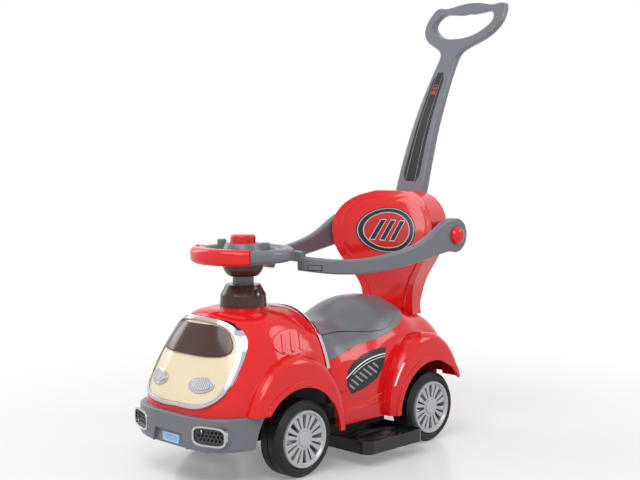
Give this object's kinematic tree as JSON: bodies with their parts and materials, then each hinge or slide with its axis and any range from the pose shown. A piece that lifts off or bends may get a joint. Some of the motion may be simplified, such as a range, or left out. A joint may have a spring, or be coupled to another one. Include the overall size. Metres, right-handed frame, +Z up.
{
  "type": "ride-on push car",
  "caption": "Ride-on push car with a rounded nose panel, saddle seat over a storage bin, high backrest with a swing-up guard bar, linked steering and a tall push handle.",
  "frame": {"origin": "on the floor under the middle of the whole car, handle included", "axes": "+Z up, -Y towards the nose, +X towards the car's left side"},
  "size_m": [0.38, 0.8511, 0.881],
  "materials": {
    "red_gloss": "glossy injection-moulded red plastic",
    "grey_satin": "satin mid-grey plastic",
    "brown_gloss": "glossy dark brown plastic",
    "cream_panel": "glossy cream plastic",
    "bright_trim": "bright plated plastic",
    "lamp_mesh": "dark moulded mesh",
    "tyre": "black moulded tyre, satin",
    "silver_wheel": "silver-grey painted plastic",
    "black_decal": "glossy black printed film",
    "steel": "plain bright steel",
    "black_plastic": "black plastic, satin"
  },
  "bodies": {
    "chassis": {"body_shell": "red_gloss", "floor_pan": "black_plastic", "front_bumper": "grey_satin", "front_panel": "cream_panel", "front_panel_ring": "bright_trim", "front_visor": "brown_gloss", "hood_trim": "bright_trim", "steering_collar": "brown_gloss", "rear_axle": "steel", "seat_base": "grey_satin", "seat_hinge_pin": "steel", "backrest_shell": "red_gloss", "backrest_cover": "red_gloss", "backrest_badge": "black_decal", "push_handle": "grey_satin", "handle_inlay": "black_decal", "fog_lamp_bezel_left": "bright_trim", "fog_lamp_bezel_right": "bright_trim", "fog_lamp_mesh_left": "lamp_mesh", "fog_lamp_mesh_right": "lamp_mesh", "front_insert_left": "brown_gloss", "front_insert_right": "brown_gloss", "kingpin_left": "steel", "kingpin_right": "steel", "guard_pin_left": "steel", "guard_pin_right": "steel"},
    "steering": {"steering_wheel": "grey_satin", "wheel_rim_cover": "red_gloss", "steering_cup": "brown_gloss", "steering_shaft": "grey_satin", "steering_rod": "steel"},
    "tie_rod": {"tie_rod": "black_plastic"},
    "guard": {"guard_arm_left": "grey_satin", "guard_arm_right": "grey_satin", "guard_joiner": "grey_satin"},
    "horn_button": {"horn_button": "red_gloss"},
    "seat_lid": {"seat_lid": "grey_satin"},
    "knuckle_left": {"knuckle_left": "black_plastic", "stub_axle_left": "steel"},
    "wheel_front_left": {"tyre_front_left": "tyre", "rim_front_left": "silver_wheel", "hub_cap_front_left": "silver_wheel"},
    "wheel_rear_left": {"tyre_rear_left": "tyre", "rim_rear_left": "silver_wheel", "hub_cap_rear_left": "silver_wheel"},
    "footrest_left": {"footrest_left": "black_plastic"},
    "guard_button_left": {"guard_button_left": "red_gloss"},
    "chime_button_left": {"chime_button_left": "red_gloss"},
    "knuckle_right": {"knuckle_right": "black_plastic", "stub_axle_right": "steel"},
    "wheel_front_right": {"tyre_front_right": "tyre", "rim_front_right": "silver_wheel", "hub_cap_front_right": "silver_wheel"},
    "wheel_rear_right": {"tyre_rear_right": "tyre", "rim_rear_right": "silver_wheel", "hub_cap_rear_right": "silver_wheel"},
    "footrest_right": {"footrest_right": "black_plastic"},
    "guard_button_right": {"guard_button_right": "red_gloss"},
    "chime_button_right": {"chime_button_right": "red_gloss"}
  },
  "joints": [
    {"name": "steering_turn", "type": "hinge", "parent": "chassis", "child": "steering", "pos_m": [0, -0.2545, 0.3], "axis": [0, 0, 1], "range_deg": [-35, 35]},
    {"name": "tie_rod_shift", "type": "slide", "parent": "chassis", "child": "tie_rod", "axis": [1, 0, 0], "range_m": [-0.0125, 0.0125]},
    {"name": "guard_lift", "type": "hinge", "parent": "chassis", "child": "guard", "pos_m": [0, 0.1655, 0.399], "axis": [-1, 0, 0], "range_deg": [0, 80]},
    {"name": "seat_lid_open", "type": "hinge", "parent": "chassis", "child": "seat_lid", "pos_m": [0, -0.1475, 0.226], "axis": [1, 0, 0], "range_deg": [0, 50]},
    {"name": "horn_press", "type": "slide", "parent": "steering", "child": "horn_button", "axis": [0, 0, -1], "range_m": [0, 0.003], "stiffness_N_per_m": 1500, "springref_m": -0.001},
    {"name": "knuckle_left_turn", "type": "hinge", "parent": "chassis", "child": "knuckle_left", "pos_m": [0.074, -0.2405, 0.0675], "axis": [0, 0, 1], "range_deg": [-21, 21]},
    {"name": "wheel_front_left_spin", "type": "hinge", "parent": "knuckle_left", "child": "wheel_front_left", "pos_m": [0.12, -0.2405, 0.0675], "axis": [1, 0, 0], "continuous": true},
    {"name": "wheel_rear_left_spin", "type": "hinge", "parent": "chassis", "child": "wheel_rear_left", "pos_m": [0.12, 0.1035, 0.0675], "axis": [1, 0, 0], "continuous": true},
    {"name": "footrest_left_slide", "type": "slide", "parent": "chassis", "child": "footrest_left", "axis": [-1, 0, 0], "range_m": [0, 0.04]},
    {"name": "guard_button_left_press", "type": "slide", "parent": "guard", "child": "guard_button_left", "axis": [-1, 0, 0], "range_m": [0, 0.004], "stiffness_N_per_m": 900, "springref_m": -0.001},
    {"name": "chime_button_left_press", "type": "slide", "parent": "steering", "child": "chime_button_left", "axis": [0, 0, -1], "range_m": [0, 0.002], "stiffness_N_per_m": 900, "springref_m": -0.001},
    {"name": "knuckle_right_turn", "type": "hinge", "parent": "chassis", "child": "knuckle_right", "pos_m": [-0.074, -0.2405, 0.0675], "axis": [0, 0, 1], "range_deg": [-21, 21]},
    {"name": "wheel_front_right_spin", "type": "hinge", "parent": "knuckle_right", "child": "wheel_front_right", "pos_m": [-0.12, -0.2405, 0.0675], "axis": [1, 0, 0], "continuous": true},
    {"name": "wheel_rear_right_spin", "type": "hinge", "parent": "chassis", "child": "wheel_rear_right", "pos_m": [-0.12, 0.1035, 0.0675], "axis": [1, 0, 0], "continuous": true},
    {"name": "footrest_right_slide", "type": "slide", "parent": "chassis", "child": "footrest_right", "axis": [1, 0, 0], "range_m": [0, 0.04]},
    {"name": "guard_button_right_press", "type": "slide", "parent": "guard", "child": "guard_button_right", "axis": [1, 0, 0], "range_m": [0, 0.004], "stiffness_N_per_m": 900, "springref_m": -0.001},
    {"name": "chime_button_right_press", "type": "slide", "parent": "steering", "child": "chime_button_right", "axis": [0, 0, -1], "range_m": [0, 0.002], "stiffness_N_per_m": 900, "springref_m": -0.001}
  ],
  "couplings": [
    {"joint": "tie_rod_shift", "follows": "steering_turn", "m_per_rad": 0.02},
    {"joint": "knuckle_left_turn", "follows": "steering_turn", "ratio": 0.58824},
    {"joint": "knuckle_right_turn", "follows": "steering_turn", "ratio": 0.58824}
  ]
}
